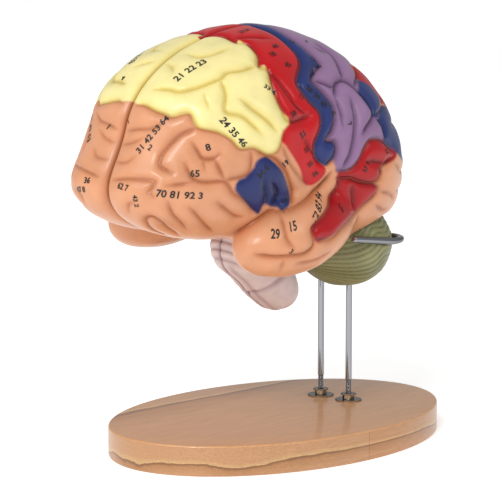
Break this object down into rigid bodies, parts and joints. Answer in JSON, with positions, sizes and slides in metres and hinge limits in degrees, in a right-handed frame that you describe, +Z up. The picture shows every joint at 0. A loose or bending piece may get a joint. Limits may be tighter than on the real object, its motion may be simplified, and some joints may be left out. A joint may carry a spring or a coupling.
{
  "type": "brain anatomy model",
  "caption": "Enlarged teaching model of a human brain in coloured halves with cerebellum and brainstem, held by two bent rods on an oval wooden board.",
  "frame": {"origin": "middle of the oval board's underside", "axes": "+Z up, the board's long axis along Y, the frontal lobes towards -Y, the left side of the brain at +X"},
  "size_m": [0.243, 0.3955, 0.3826],
  "materials": {
    "board": "varnished solid wood, glossy",
    "rods": "bright chrome plate",
    "fasteners": "zinc-plated steel, dull",
    "cerebrum": "moulded PVC, hand painted, semi-gloss",
    "cerebellum": "moulded PVC, olive paint, semi-gloss",
    "brainstem": "moulded PVC, pale pink paint, semi-gloss",
    "pegs": "moulded white plastic"
  },
  "bodies": {
    "root": {"base_board": "board", "cradle_rod_left": "rods", "cradle_rod_right": "rods", "foot_washers": "fasteners", "flange_nuts": "fasteners", "under_washers": "fasteners", "under_nuts": "fasteners", "cerebrum_left": "cerebrum", "cerebrum_right": "cerebrum", "cerebrum_pegs": "pegs", "cerebellum_left": "cerebellum", "cerebellum_right": "cerebellum", "cerebellum_peg": "pegs", "brainstem_left": "brainstem", "brainstem_right": "brainstem", "brainstem_peg": "pegs"}
  },
  "joints": []
}
